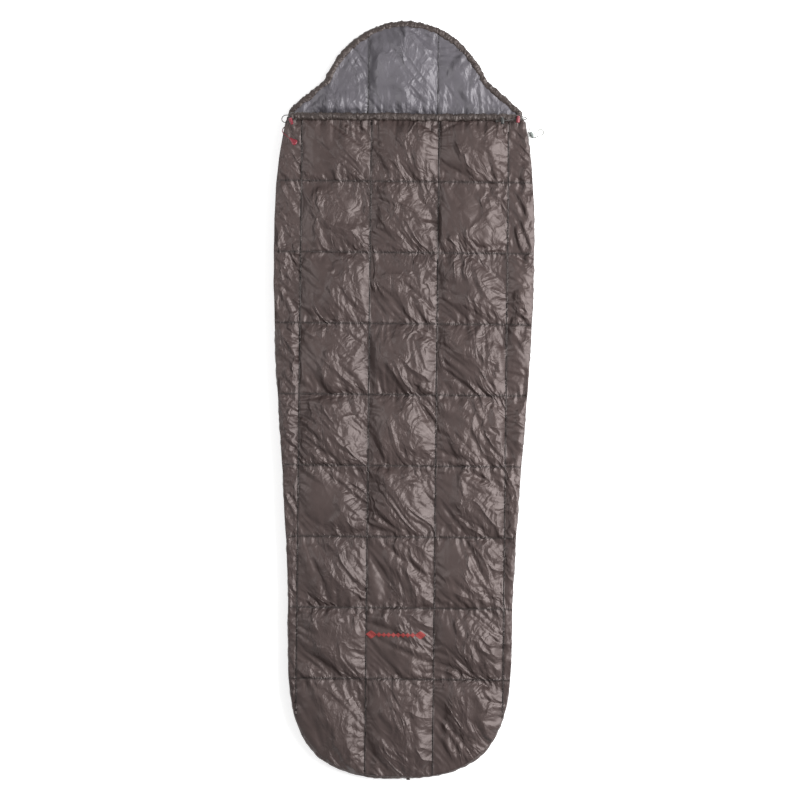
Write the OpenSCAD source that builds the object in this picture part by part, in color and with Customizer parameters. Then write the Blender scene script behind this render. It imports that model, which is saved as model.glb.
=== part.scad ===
// Mummy sleeping bag lying flat: a lower quilt, an upper quilt whose corner turns down
// once the side zipper is open, a hood with a drawcord rim, and the cords and cord locks.
// X is across, +Y is towards the hood, Z is up, and the bag lies on z = 0.

/* [Size] */
// Overall length, from the hang loop at the foot to the hood's rim
bag_length = 2136; // [2000:2:2260]
// Half of the width at the shoulders
shoulder_half = 363; // [355:1:380]
// Half of the width at the neck opening
neck_half = 329; // [320:1:335]
// Half of the width where the foot starts to round
foot_half = 311; // [300:1:330]
// Length of the hood beyond the neck opening
hood_length = 268; // [240:2:300]
// Length of the rounded foot
foot_round = 355; // [300:5:400]

/* [Quilts] */
// Thickness of the lower quilt
lower_loft = 24; // [22:1:30]
// Height of the space between the two quilts
cavity = 18; // [18:1:24]
// Thickness of the upper quilt
upper_loft = 24; // [22:1:30]
// Distance between cross seams
row_pitch = 199.4; // [180:0.2:220]
// Distance of the inner length seams from the middle
inner_seam = 95; // [85:1:105]
// Distance of the outer length seams from the middle
outer_seam = 290; // [280:1:295]
// Thickness of a fabric layer
wall = 1.2; // [1:0.1:1.6]

/* [Opening] */
// Where the turned-down corner's fold line meets the neck
fold_x = 245; // [230:1:250]
// Length of the zipper
zip_length = 585; // [580:1:590]
// How far the slider runs
zip_travel = 560; // [540:1:565]

/* [Trim] */
// Radius of the neck tunnel
neck_tunnel_r = 6.5; // [6:0.1:6.6]
// Radius of the hood tunnel
hood_tunnel_r = 7; // [6.5:0.1:7.5]
// Radius of the drawcord
cord_r = 1.2; // [1:0.05:1.25]
// Width of the hang loop's webbing
loop_width = 10; // [8:1:15]

/* [Hidden] */

thin = 0.02;
big = 3000;
shell_colour = "#4f4642";
lining_colour = "#77737a";
down_colour = "#e9e6df";
trim_colour = "#2d2a28";
red_colour = "#8e1f2e";
grey_colour = "#5b5e5c";

// Heights of the layers
z_low = lower_loft;
z_up = z_low + cavity;
z_top = z_up + upper_loft;

// Stations along the length
loop_out = 12;
y_top = bag_length / 2;
y_neck = y_top - hood_length;
y_shoulder = y_neck - 378;
y_foot_end = -bag_length / 2 + loop_out;
y_foot = y_foot_end + foot_round;
quilt_end = y_neck - 14;
hinge_gap = 0.4;

// Cross seams, from the shoulders to the foot
first_row = y_neck - 187;
row_seams = [for (i = [0:7]) first_row - i * row_pitch];
column_seams = [-outer_seam, -inner_seam, inner_seam, outer_seam];

// Half of the bag's width at a station between the neck and the rounded foot
shoulder_power = 2.6;
function half_width(y) =
    y > y_shoulder
        ? shoulder_half - (shoulder_half - neck_half)
            * pow((y - y_shoulder) / (y_neck - y_shoulder), shoulder_power)
        : (shoulder_half + foot_half) / 2 + (shoulder_half - foot_half) / 2
            * cos(180 * (y_shoulder - y) / (y_shoulder - y_foot));

// The rounded foot is a superellipse
foot_power = 2.7;
foot_step = 6;
function foot_point(a, inset) = [
    (foot_half - inset) * pow(cos(a), 2 / foot_power),
    y_foot - (foot_round - inset) * pow(sin(a), 2 / foot_power)
];

// Right side of the outline from y_from down to y_to, which is above the rounded foot
flank_step = 42;
function flank(y_from, y_to, inset) =
    let (n = ceil((y_from - y_to) / flank_step))
    [for (i = [0:n]) let (y = y_from + (y_to - y_from) * i / n) [half_width(y) - inset, y]];
function foot_arc(a_from, a_to, inset) = [for (a = [a_from:foot_step:a_to]) foot_point(a, inset)];
function mirrored(points) = [for (p = points) [-p[0], p[1]]];
function backwards(points) = [for (i = [len(points) - 1:-1:0]) points[i]];

module outline(inset, y_end) {
    right = concat(flank(y_end, y_foot, inset), foot_arc(foot_step, 90 - foot_step, inset));
    tip = [[0, y_foot - (foot_round - inset)]];
    polygon(concat(right, tip, backwards(mirrored(right))));
}

// Solid through a list of [inset, low, high] slabs of the outline
module lofted(profile, z, inset, y_end) {
    hull()
        for (slab = profile)
            translate([0, 0, z + slab[1]])
                linear_extrude(slab[2] - slab[1]) outline(slab[0] + inset, y_end);
}
upper_profile = [[0, 0, 6], [14, upper_loft - 6 - thin, upper_loft - 6], [40, upper_loft - thin, upper_loft]];
lower_profile = [[26, 0, thin], [10, 6, 6 + thin], [0, 14, lower_loft]];
fill_inset = 16;

// The two sides of the fold line, which runs at 45 degrees down to the zipper's lower end
fold_gap = 0.25;
module at_fold() {
    translate([fold_x, y_neck, 0]) rotate([0, 0, 45]) children();
}
module flap_side() {
    at_fold() translate([-big, fold_gap, -big]) cube(2 * big);
}
module fixed_side() {
    at_fold() translate([-big, -fold_gap - 2 * big, -big]) cube(2 * big);
}

// One box of down between each pair of seams, over the whole bag
seam_gap = 3;
module chambers(z_from, z_to, inset, y_end) {
    xs = concat([-shoulder_half], column_seams, [shoulder_half]);
    ys = concat([y_end], row_seams, [y_foot_end]);
    intersection() {
        translate([0, 0, z_from]) linear_extrude(z_to - z_from) outline(inset, y_end - seam_gap);
        for (i = [0:len(xs) - 2], j = [0:len(ys) - 2])
            translate([xs[i] + seam_gap, ys[j + 1] + seam_gap, z_from - 1])
                cube([xs[i + 1] - xs[i] - 2 * seam_gap, ys[j] - ys[j + 1] - 2 * seam_gap, z_to - z_from + 2]);
    }
}

// ---- lower quilt ----
module lower_shell() {
    color(shell_colour)
        difference() {
            lofted(lower_profile, 0, 0, y_neck);
            translate([0, 0, wall]) lofted(lower_profile, 0, wall, y_neck - wall);
        }
}
module lower_fill() {
    color(down_colour) chambers(6, z_low - wall - 0.4, fill_inset, y_neck - wall);
}
module lower_lining() {
    color(lining_colour)
        translate([0, 0, z_low - wall])
            linear_extrude(wall) outline(wall + 0.1, y_neck - wall - 0.1);
}

// ---- upper quilt: the part that stays and the corner that turns down ----
module upper_skin() {
    difference() {
        lofted(upper_profile, z_up, 0, quilt_end);
        translate([0, 0, -wall]) lofted(upper_profile, z_up, wall, quilt_end - wall);
    }
}
module upper_inner() {
    translate([0, 0, z_up]) linear_extrude(wall) outline(wall + 0.1, quilt_end - wall - 0.1);
}
module upper_down() {
    chambers(z_up + wall + 0.4, z_top - 8.5, fill_inset, quilt_end - wall);
}
module upper_shell() {
    color(shell_colour) intersection() { upper_skin(); fixed_side(); }
}
module upper_fill() {
    color(down_colour) intersection() { upper_down(); fixed_side(); }
}
module upper_lining() {
    color(lining_colour) intersection() { upper_inner(); fixed_side(); }
}
module flap_shell() {
    color(shell_colour) intersection() { upper_skin(); flap_side(); }
}
module flap_fill() {
    color(down_colour) intersection() { upper_down(); flap_side(); }
}
module flap_lining() {
    color(lining_colour) intersection() { upper_inner(); flap_side(); }
}

// ---- side walls between the quilts ----
gusset_width = 14;
zip_end_gap = 14;
module wall_strip(outer, inner) {
    color(shell_colour)
        translate([0, 0, z_low]) linear_extrude(cavity) polygon(concat(outer, backwards(inner)));
}
module right_gusset() {
    wall_strip(flank(quilt_end, y_foot, 0), flank(quilt_end, y_foot, gusset_width));
}
module left_gusset() {
    y_from = zip_bottom[1] - zip_end_gap;
    wall_strip(mirrored(flank(y_from, y_foot, 0)), mirrored(flank(y_from, y_foot, gusset_width)));
}
module foot_gusset() {
    outer = foot_arc(0, 90 - foot_step, 0);
    inner = foot_arc(0, 90 - foot_step, gusset_width);
    tip_outer = [[0, y_foot_end]];
    tip_inner = [[0, y_foot_end + gusset_width]];
    wall_strip(
        concat(outer, tip_outer, backwards(mirrored(outer))),
        concat(inner, tip_inner, backwards(mirrored(inner)))
    );
}

// ---- zipper, in a frame whose Y runs along the chain with its upper end at 0 ----
zip_top = [-325, y_neck - 10];
zip_bottom = [-349, zip_top[1] - zip_length];
zip_lean = atan((zip_top[0] - zip_bottom[0]) / (zip_top[1] - zip_bottom[1]));
z_zip = z_low + cavity / 2;
tape_thick = 0.8;
coil_thick = 2.2;
coil_half = 3;
chain_gap = 0.15;
slider_length = 12;
chain_end = 8;
module at_zip() {
    translate([zip_top[0], zip_top[1], z_zip]) rotate([0, 0, -zip_lean]) children();
}
module zipper_tape_lower() {
    color(trim_colour)
        at_zip() translate([0, -zip_length, -cavity / 2])
            cube([tape_thick, zip_length, cavity / 2 - 2 * chain_gap]);
}
module zipper_coil_lower() {
    color(trim_colour)
        at_zip() translate([-coil_thick, -zip_length + chain_end, -coil_half])
            cube([coil_thick, zip_length - chain_end - 2, coil_half - chain_gap]);
}
module zipper_bottom_stop() {
    color(grey_colour)
        at_zip() translate([-coil_thick, -zip_length + 1, -coil_half])
            cube([coil_thick, chain_end - 1.5, coil_half - chain_gap]);
}
module zipper_tape_upper() {
    y_from = slider_length + 3;
    color(trim_colour)
        at_zip() translate([0, -zip_length + chain_end, 2 * chain_gap])
            cube([tape_thick, zip_length - chain_end - y_from, cavity / 2 - 2 * chain_gap]);
}
module zipper_coil_upper() {
    y_from = slider_length + 6;
    color(trim_colour)
        at_zip() translate([-coil_thick, -zip_length + chain_end + 4, chain_gap])
            cube([coil_thick, zip_length - chain_end - 4 - y_from, coil_half - chain_gap]);
}
module zipper_top_stop() {
    color(grey_colour)
        at_zip() translate([-coil_thick, -slider_length - 5.8, chain_gap])
            cube([coil_thick, 2.6, coil_half - chain_gap]);
}

// A down-filled tube behind the chain
draft_r = 7.2;
module draft_tube() {
    color(lining_colour)
        at_zip() translate([14, -zip_length + 30, draft_r - cavity / 2])
            rotate([-90, 0, 0]) cylinder(h = zip_length - 45, r = draft_r, $fn = 40);
}

// ---- slider, closed at the neck, and its pull ----
plate_half = 4.4;
outer_face = -4.6;
pin_x = -6.4;
pin_y = -7;
pin_r = 0.9;
module slider_body() {
    color(grey_colour)
        at_zip() difference() {
            union() {
                translate([outer_face, -slider_length - 1, -plate_half])
                    cube([1.8, slider_length, 2 * plate_half]);
                translate([1.4, -slider_length - 1, -plate_half]) cube([1.4, slider_length, 2 * plate_half]);
                for (side = [-1, 1])
                    translate([outer_face, -slider_length - 1, side > 0 ? plate_half - 1 : -plate_half])
                        cube([4.2, slider_length, 1]);
                translate([outer_face, -4, 0.5]) cube([7.4, 3, 2.2]);
                translate([-8.4, -12, -1.5]) cube([4, 10, 3]);
            }
            translate([pin_x, pin_y, -2]) cylinder(h = 4, r = pin_r + 0.4, $fn = 32);
        }
}
bail_reach = 12;
bail_half = 3.6;
module pull_bail() {
    color(grey_colour)
        at_zip() {
            for (y = [pin_y, pin_y - bail_reach])
                translate([pin_x, y, -bail_half - pin_r])
                    cylinder(h = 2 * (bail_half + pin_r), r = pin_r, $fn = 32);
            for (side = [-1, 1])
                translate([pin_x, pin_y - bail_reach, side * bail_half])
                    rotate([-90, 0, 0]) cylinder(h = bail_reach, r = pin_r, $fn = 32);
        }
}

// ---- cords: each a tube through points that lie on one smooth route ----
function unit(v) = v / norm(v);
function along(p, i) = unit(p[min(i + 1, len(p) - 1)] - p[max(i - 1, 0)]);
function ring(centre, way, r, sides) =
    let (a = unit(cross([0, 0, 1], way)), b = cross(way, a))
    [for (k = [0:sides - 1]) centre + r * (cos(360 * k / sides) * a + sin(360 * k / sides) * b)];
module tube(path, r, sides) {
    last = (len(path) - 1) * sides;
    points = [for (i = [0:len(path) - 1]) each ring(path[i], along(path, i), r, sides)];
    sides_faces = [
        for (i = [0:len(path) - 2], k = [0:sides - 1])
            let (m = (k + 1) % sides, a = i * sides)
            each [[a + k, a + m, a + sides + m], [a + k, a + sides + m, a + sides + k]]
    ];
    ends = [[for (k = [sides - 1:-1:0]) k], [for (k = [0:sides - 1]) last + k]];
    polyhedron([for (p = points) p], [for (f = concat(sides_faces, ends)) backwards(f)]);
}

// Zipper pull: from the bail, round the quilt's edge and onto its top
pull_route = [
    [-332, 769, 33], [-338, 765, 33], [-343, 760, 36], [-345, 753, 42], [-343, 746, 50],
    [-337, 740, 56], [-330, 734, 61], [-323, 729, 65],
];
module pull_cord() {
    color(red_colour) tube(pull_route, cord_r, 8);
}
tab_root = [-322.6, 728.4, 65.8];
tab_tip = [-307, 715, 71];
module pull_tab() {
    color(red_colour)
        hull() {
            translate(tab_root) sphere(r = 2.4, $fn = 24);
            translate(tab_tip + [-5, -4, 0]) sphere(r = 4.2, $fn = 24);
            translate(tab_tip + [5, 3, 0]) sphere(r = 4.2, $fn = 24);
        }
}

// Left end of the neck drawcord, through its lock and knotted
left_lock_at = [-320, 777, 66.4];
left_lock_yaw = -70;
left_route = [
    [-322, 793, 54], [-331, 795, 53], [-339, 794, 52], [-345, 789, 53], [-346, 781, 56], [-342, 775, 61],
    [-335, 773, 65], [-325.6, 775, 66.4], [-314.4, 779, 66.4], [-309, 781, 66.4],
];
module left_cord() {
    color(trim_colour) tube(left_route, cord_r, 8);
}
module left_knot() {
    color(trim_colour) translate([-306.6, 781.9, 66.4]) sphere(r = 2.6, $fn = 24);
}

// Hood drawcord's free end, out of the tunnel, through the red lock and the black one
right_lock_at = [315, 788, 67];
right_lock_yaw = 85;
neck_lock_at = [271, 783, 71.6];
neck_lock_yaw = 95;
hood_route = [
    [324, 804, 20], [332, 800, 25], [338, 797, 36], [340, 793, 50], [336, 788, 60],
    [330, 786.5, 66], [324, 787.2, 67], [306, 788.8, 67], [299, 788, 68], [290, 785.5, 70.5],
    [281, 783.9, 71.6], [263, 782.3, 71.6], [257, 781.8, 71.4],
];
module hood_cord() {
    color(trim_colour) tube(hood_route, cord_r, 8);
}
module hood_cord_knot() {
    color(trim_colour) translate([254.4, 781.6, 71.2]) sphere(r = 2.8, $fn = 24);
}

// Right end of the neck drawcord, down the side to the ground, through the grey lock and looped
tail_lock_at = [357, 752, 6.4];
tail_lock_yaw = -64;
tail_route = [
    [322, 793, 54], [331, 792, 54], [338, 787, 52], [344, 779, 46], [348, 771, 37], [349, 763, 26],
    [347, 755, 15], [346, 749, 8], [349.8, 748.5, 6.4], [364.2, 755.5, 6.4], [371, 760, 5],
    [377, 766, 3], [384, 769, 1.8], [390, 765, 1.8], [391, 757, 1.8], [385, 752, 1.8],
    [377, 750, 1.8], [370, 746, 1.8],
];
module tail_cord() {
    color(grey_colour) tube(tail_route, cord_r, 8);
}
module tail_knot() {
    color(grey_colour) translate([367.4, 744.6, 2.9]) sphere(r = 2.7, $fn = 24);
}

// ---- cord lock: a barrel, a sprung plunger and the spring under it ----
barrel_r = 5.2;
barrel_length = 14;
barrel_floor = 1.5;
plunger_r = 3.4;
plunger_from = 5.5;
cord_hole_r = 2.2;
hole_z = 9;
hole_offset = 0.8;
press = 1.6;
head_z = barrel_length + press + 0.4;
module at_lock(centre, yaw) {
    translate(centre) rotate([0, 0, yaw]) rotate([0, 90, 0])
        translate([0, 0, -hole_z]) children();
}
module cord_hole(z) {
    translate([0, barrel_r + 2, z]) rotate([90, 0, 0]) cylinder(h = 2 * barrel_r + 4, r = cord_hole_r, $fn = 32);
}
module lock_body() {
    difference() {
        rotate_extrude($fn = 48)
            polygon([
                [0, 0], [barrel_r - 1.4, 0], [barrel_r, 1.4], [barrel_r, barrel_length - 1],
                [barrel_r - 1, barrel_length], [0, barrel_length],
            ]);
        translate([0, 0, barrel_floor]) cylinder(h = barrel_length, r = plunger_r + 0.3, $fn = 48);
        cord_hole(hole_z);
    }
}
module lock_button() {
    difference() {
        union() {
            translate([0, 0, plunger_from]) cylinder(h = head_z - plunger_from, r = plunger_r, $fn = 48);
            translate([0, 0, head_z])
                rotate_extrude($fn = 48)
                    polygon([[0, 0], [barrel_r - 0.6, 0], [barrel_r - 0.6, 1.6], [barrel_r - 1.8, 2.8], [0, 2.8]]);
        }
        cord_hole(hole_z + hole_offset);
    }
}
spring_r = 2.4;
wire_r = 0.3;
spring_turns = 2.5;
function spring_point(a) = [
    spring_r * cos(a), spring_r * sin(a),
    barrel_floor + wire_r + 0.05 + a / (360 * spring_turns) * (plunger_from - barrel_floor - 2 * wire_r - 0.1)
];
module lock_spring() {
    color("silver") tube([for (a = [0:30:360 * spring_turns]) spring_point(a)], wire_r, 6);
}
module left_lock_body() { color(red_colour) at_lock(left_lock_at, left_lock_yaw) lock_body(); }
module left_lock_button() { color(red_colour) at_lock(left_lock_at, left_lock_yaw) lock_button(); }
module left_lock_spring() { at_lock(left_lock_at, left_lock_yaw) lock_spring(); }
module right_lock_body() { color(red_colour) at_lock(right_lock_at, right_lock_yaw) lock_body(); }
module right_lock_button() { color(red_colour) at_lock(right_lock_at, right_lock_yaw) lock_button(); }
module right_lock_spring() { at_lock(right_lock_at, right_lock_yaw) lock_spring(); }
module neck_lock_body() { color(trim_colour) at_lock(neck_lock_at, neck_lock_yaw) lock_body(); }
module neck_lock_button() { color(trim_colour) at_lock(neck_lock_at, neck_lock_yaw) lock_button(); }
module neck_lock_spring() { at_lock(neck_lock_at, neck_lock_yaw) lock_spring(); }
module tail_lock_body() { color(grey_colour) at_lock(tail_lock_at, tail_lock_yaw) lock_body(); }
module tail_lock_button() { color(grey_colour) at_lock(tail_lock_at, tail_lock_yaw) lock_button(); }
module tail_lock_spring() { at_lock(tail_lock_at, tail_lock_yaw) lock_spring(); }

// ---- neck tunnel along the upper quilt's edge, with the drawcord inside ----
neck_tunnel_y = y_neck - 7;
neck_tunnel_z = z_up + 12;
tunnel_half = neck_half - 8;
tunnel_bore = 2.5;
module across(r) {
    translate([-tunnel_half, neck_tunnel_y, neck_tunnel_z])
        rotate([0, 90, 0]) cylinder(h = 2 * tunnel_half, r = r, $fn = 48);
}
module neck_pipe() {
    difference() { across(neck_tunnel_r); across(tunnel_bore); }
}
module neck_tunnel() {
    color(trim_colour) intersection() { neck_pipe(); flap_side(); }
}
module neck_tunnel_end() {
    color(trim_colour) intersection() { neck_pipe(); fixed_side(); }
}
module neck_drawcord() {
    color(trim_colour)
        translate([-tunnel_half + 2, neck_tunnel_y, neck_tunnel_z])
            rotate([0, 90, 0]) cylinder(h = tunnel_half + fold_x - 20, r = cord_r, $fn = 24);
}

// ---- hood: a straight flare up from the neck's corners into a domed top ----
dome_x = 256;
dome_y = y_neck - 35;
dome_b = y_top - dome_y;
flare_top = y_neck + 95;
function dome_half(y, inset) = (dome_x - inset) * sqrt(max(0, 1 - pow((y - dome_y) / (dome_b - inset), 2)));
dome_from = asin((flare_top - dome_y) / dome_b);
dome_step = (90 - dome_from) / 20;
flare_shift = 1.4;
function hood_side(inset) = concat(
    [[neck_half - flare_shift * inset, y_neck + hinge_gap], [neck_half - flare_shift * inset, y_neck + 10]],
    [for (a = [dome_from:dome_step:90 - dome_step / 2])
        [(dome_x - inset) * cos(a), dome_y + (dome_b - inset) * sin(a)]]
);
module hood_plate(inset, z_from, z_to) {
    right = hood_side(inset);
    translate([0, 0, z_from])
        linear_extrude(z_to - z_from)
            polygon(concat(right, [[0, y_top - inset]], backwards(mirrored(right))));
}
hood_inset = 2 * hood_tunnel_r + 2;
module hood_shell() {
    color(shell_colour)
        difference() {
            hood_plate(hood_inset, 0, z_low);
            translate([0, wall, wall]) hood_plate(hood_inset + wall * 1.6, 0, z_low);
        }
}
module hood_fill() {
    xs = [-neck_half, -inner_seam, inner_seam, neck_half];
    color(down_colour)
        intersection() {
            translate([0, wall + 1, 0]) hood_plate(hood_inset + 5, wall + 0.4, z_low - wall - 0.4);
            for (i = [0:2])
                translate([xs[i] + seam_gap, y_neck, 0]) cube([xs[i + 1] - xs[i] - 2 * seam_gap, hood_length, z_low]);
        }
}
module hood_lining() {
    color(lining_colour)
        translate([0, wall + 0.1, 0]) hood_plate(hood_inset + wall * 1.6 + 0.2, z_low - wall, z_low);
}
hood_tunnel_z = 20;
rim_start = [neck_half - hood_tunnel_r - 1, y_neck + 8];
function rim_right() = concat(
    [rim_start],
    [for (t = [0.2:0.2:0.8]) rim_start + t * ([dome_x * cos(dome_from) - hood_tunnel_r, flare_top] - rim_start)],
    [for (a = [dome_from:dome_step:90 - dome_step / 2])
        [(dome_x - hood_tunnel_r) * cos(a), dome_y + (dome_b - hood_tunnel_r) * sin(a)]]
);
function rim_path() = [
    for (p = concat(rim_right(), [[0, y_top - hood_tunnel_r]], backwards(mirrored(rim_right()))))
        [p[0], p[1], hood_tunnel_z]
];
module hood_tunnel() {
    color(trim_colour)
        difference() {
            tube(rim_path(), hood_tunnel_r, 12);
            tube(concat(
                [rim_path()[0] + (rim_path()[0] - rim_path()[1]) * 0.2],
                rim_path(),
                [rim_path()[len(rim_path()) - 1] + (rim_path()[0] - rim_path()[1]) * 0.2]
            ), tunnel_bore, 8);
        }
}
module hood_drawcord() {
    color(trim_colour) tube(rim_path(), cord_r, 8);
}

// ---- emblem sewn on the upper quilt, and the hang loop at the foot ----
emblem_at = [-12, -658];
emblem_length = 168;
emblem_height = 32;
emblem_thick = 0.8;
module emblem() {
    reach = emblem_length / 2;
    h = emblem_height / 2;
    color(red_colour)
        translate([emblem_at[0], emblem_at[1], z_top])
            linear_extrude(emblem_thick)
                polygon([
                    [-reach, 0], [-reach + 18, h], [-reach + 36, 4], [reach - 46, 4], [reach - 24, h],
                    [reach, 0], [reach - 24, -h], [reach - 46, -4], [-reach + 36, -4], [-reach + 18, -h],
                ]);
}
loop_x = 27;
strap = 1.2;
loop_gap = 5.2;
loop_root = 2;
module foot_loop() {
    outer_h = loop_gap + 2 * strap;
    color(trim_colour)
        translate([loop_x - loop_width / 2, y_foot_end + loop_root, z_zip])
            rotate([90, 0, 90])
                linear_extrude(loop_width)
                    difference() {
                        union() {
                            translate([outer_h / 2 - loop_out - loop_root, -outer_h / 2])
                                square([loop_out + loop_root - outer_h / 2, outer_h]);
                            translate([outer_h / 2 - loop_out - loop_root, 0]) circle(r = outer_h / 2, $fn = 40);
                        }
                        translate([outer_h / 2 - loop_out - loop_root, -loop_gap / 2])
                            square([loop_out + loop_root, loop_gap]);
                        translate([outer_h / 2 - loop_out - loop_root, 0]) circle(r = loop_gap / 2, $fn = 40);
                    }
}

lower_shell();
lower_fill();
lower_lining();
upper_shell();
upper_fill();
upper_lining();
right_gusset();
left_gusset();
foot_gusset();
draft_tube();
emblem();
foot_loop();
neck_tunnel_end();
zipper_tape_lower();
zipper_coil_lower();
zipper_bottom_stop();
flap_shell();
flap_fill();
flap_lining();
neck_tunnel();
neck_drawcord();
zipper_tape_upper();
zipper_coil_upper();
zipper_top_stop();
hood_shell();
hood_fill();
hood_lining();
hood_tunnel();
hood_drawcord();
slider_body();
pull_bail();
pull_cord();
pull_tab();
left_lock_body();
left_lock_button();
left_lock_spring();
left_cord();
left_knot();
right_lock_body();
right_lock_button();
right_lock_spring();
hood_cord();
hood_cord_knot();
neck_lock_body();
neck_lock_button();
neck_lock_spring();
tail_lock_body();
tail_lock_button();
tail_lock_spring();
tail_cord();
tail_knot();
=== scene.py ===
"""Mummy sleeping bag lying flat, seen from above. Metres, in the CAD model's frame."""
import math

import bmesh
import bpy
import numpy as np
from mathutils import Matrix, Vector, kdtree, noise
from mathutils.bvhtree import BVHTree


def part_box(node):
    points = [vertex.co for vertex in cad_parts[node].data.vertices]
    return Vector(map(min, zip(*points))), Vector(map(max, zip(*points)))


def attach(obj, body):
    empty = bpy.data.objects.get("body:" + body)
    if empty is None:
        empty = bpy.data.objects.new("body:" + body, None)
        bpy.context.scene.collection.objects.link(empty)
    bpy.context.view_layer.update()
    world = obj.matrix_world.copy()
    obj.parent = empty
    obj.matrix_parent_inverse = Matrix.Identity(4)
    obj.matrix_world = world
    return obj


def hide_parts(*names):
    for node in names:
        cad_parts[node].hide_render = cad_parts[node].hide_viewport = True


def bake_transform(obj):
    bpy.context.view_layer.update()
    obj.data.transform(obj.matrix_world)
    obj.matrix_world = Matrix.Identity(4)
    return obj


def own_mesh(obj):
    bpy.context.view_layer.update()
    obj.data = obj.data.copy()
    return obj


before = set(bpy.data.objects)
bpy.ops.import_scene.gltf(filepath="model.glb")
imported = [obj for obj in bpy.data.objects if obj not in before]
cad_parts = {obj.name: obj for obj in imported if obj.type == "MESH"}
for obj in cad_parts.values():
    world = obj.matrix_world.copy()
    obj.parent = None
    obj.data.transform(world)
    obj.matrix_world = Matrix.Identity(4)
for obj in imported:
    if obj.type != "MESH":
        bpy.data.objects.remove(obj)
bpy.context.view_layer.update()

scene = bpy.context.scene

# ---- sizes, from the CAD model
lower_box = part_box("lower_shell")
upper_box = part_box("upper_shell")
HALF_SHOULDER = lower_box[1].x
Y_NECK = lower_box[1].y
Y_END = lower_box[0].y
Z_LOW = lower_box[1].z
Z_UP = upper_box[0].z
QUILT_END = upper_box[1].y
Y_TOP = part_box("hood_tunnel")[1].y
HALF_NECK, HALF_FOOT = 0.329, 0.311
Y_SHOULDER = Y_NECK - 0.378
Y_FOOT = Y_END + 0.355
# The upper quilt's seams, and the height at which they are sewn down
COLS = [-0.290, -0.095, 0.095, 0.290]
ROWS = [Y_NECK - 0.187 - 0.1994 * i for i in range(8)]
PIN_Z = 0.0470
# The left zipper: its top end, its lean, its length, and where its lower end lies along the bag
ZIP_TOP = Vector((-0.325, Y_NECK - 0.010, 0.033))
ZIP_LEAN = math.atan(24 / 585)
ZIP_LENGTH = 0.585
ZIP_LOW_Y = 0.191


def half_width(y):
    if y > Y_SHOULDER:
        t = (y - Y_SHOULDER) / (Y_NECK - Y_SHOULDER)
        return HALF_SHOULDER - (HALF_SHOULDER - HALF_NECK) * t ** 2.6
    if y > Y_FOOT:
        turn = math.pi * (Y_SHOULDER - y) / (Y_SHOULDER - Y_FOOT)
        return (HALF_SHOULDER + HALF_FOOT) / 2 + (HALF_SHOULDER - HALF_FOOT) / 2 * math.cos(turn)
    t = min(1, (Y_FOOT - y) / (Y_FOOT - Y_END))
    return HALF_FOOT * (1 - t ** 2.7) ** (1 / 2.7)


def bag_outline(y_top, n=500):
    """Right half of the outline, from y_top down to the foot's middle."""
    straight = [y_top + (Y_FOOT - y_top) * i / n for i in range(n)]
    points = [(half_width(y), y) for y in straight]
    for i in range(n + 1):
        a = math.pi / 2 * i / n
        points.append((
            HALF_FOOT * max(0, math.cos(a)) ** (2 / 2.7),
            Y_FOOT - (Y_FOOT - Y_END) * math.sin(a) ** (2 / 2.7),
        ))
    return points


# The hood: a round dome whose sides flare out to the neck
FLARE = 0.095
FLARE_TOP = Y_NECK + FLARE
DOME_Y = Y_NECK - 0.035
DOME_HALF = 0.256


def hood_half(y, inset=0.0):
    dome_b = Y_TOP - DOME_Y - inset
    dome = lambda v: (DOME_HALF - inset) * math.sqrt(max(0, 1 - ((v - DOME_Y) / dome_b) ** 2))
    if y >= FLARE_TOP:
        return dome(y)
    t = max(0, (y - Y_NECK - 0.010) / (FLARE_TOP - Y_NECK - 0.010))
    return (HALF_NECK - inset) * (1 - t) + dome(FLARE_TOP) * t


def hood_outline(inset, n=300):
    points = [(hood_half(y, inset), y) for y in [Y_NECK + FLARE * i / 60 for i in range(61)]]
    top = Y_TOP - inset
    start = math.asin((FLARE_TOP - DOME_Y) / (top - DOME_Y))
    for i in range(1, n + 1):
        a = start + (math.pi / 2 - start) * i / n
        points.append(((DOME_HALF - inset) * math.cos(a), DOME_Y + (top - DOME_Y) * math.sin(a)))
    return points


def both_sides(right):
    return right + [(-x, y) for x, y in reversed(right)]


# ---- camera, straight above the bag
def link(name, data):
    obj = bpy.data.objects.new(name, data)
    scene.collection.objects.link(obj)
    return obj


lens = bpy.data.cameras.new("camera")
lens.lens, lens.sensor_width = 100, 36
camera = link("camera", lens)
camera.location = (-0.007, 0.0, 6.28)
camera.rotation_euler = (0, 0, math.radians(0.6))
scene.camera = camera


# ---- materials
def new_material(name):
    material = bpy.data.materials.new(name)
    material.use_nodes = True
    return material, material.node_tree, material.node_tree.nodes["Principled BSDF"]


def add(tree, kind, vector=None, **settings):
    """A new shader node with its settings, fed with a vector."""
    node = tree.nodes.new("ShaderNode" + kind)
    for key, value in settings.items():
        setattr(node, key, value)
    if vector is not None:
        tree.links.new(vector, node.inputs["Vector"])
    return node


def put(node, values):
    """Sets constants on a node's input sockets."""
    for name, value in values.items():
        node.inputs[name].default_value = value


def maths(tree, operation, a, b):
    node = add(tree, "Math", operation=operation)
    tree.links.new(a, node.inputs[0])
    tree.links.new(b, node.inputs[1])
    return node.outputs["Value"]


def attribute(tree, name):
    return add(tree, "Attribute", attribute_name=name).outputs["Fac"]


def coordinates(tree, uv, scale=(1, 1, 1), turn=0.0):
    """Texture coordinates, turned first and stretched after."""
    vector = add(tree, "TexCoord").outputs["UV" if uv else "Object"]
    for key, value in (("Rotation", (0, 0, turn)), ("Scale", scale)):
        mapping = add(tree, "Mapping", vector)
        put(mapping, {key: value})
        vector = mapping.outputs["Vector"]
    return vector


def noise_at(tree, vector, scale, detail=3.0, roughness=0.55, distortion=0.0):
    node = add(tree, "TexNoise", vector)
    put(node, {"Scale": scale, "Detail": detail, "Roughness": roughness, "Distortion": distortion})
    return node.outputs["Fac"]


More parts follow.
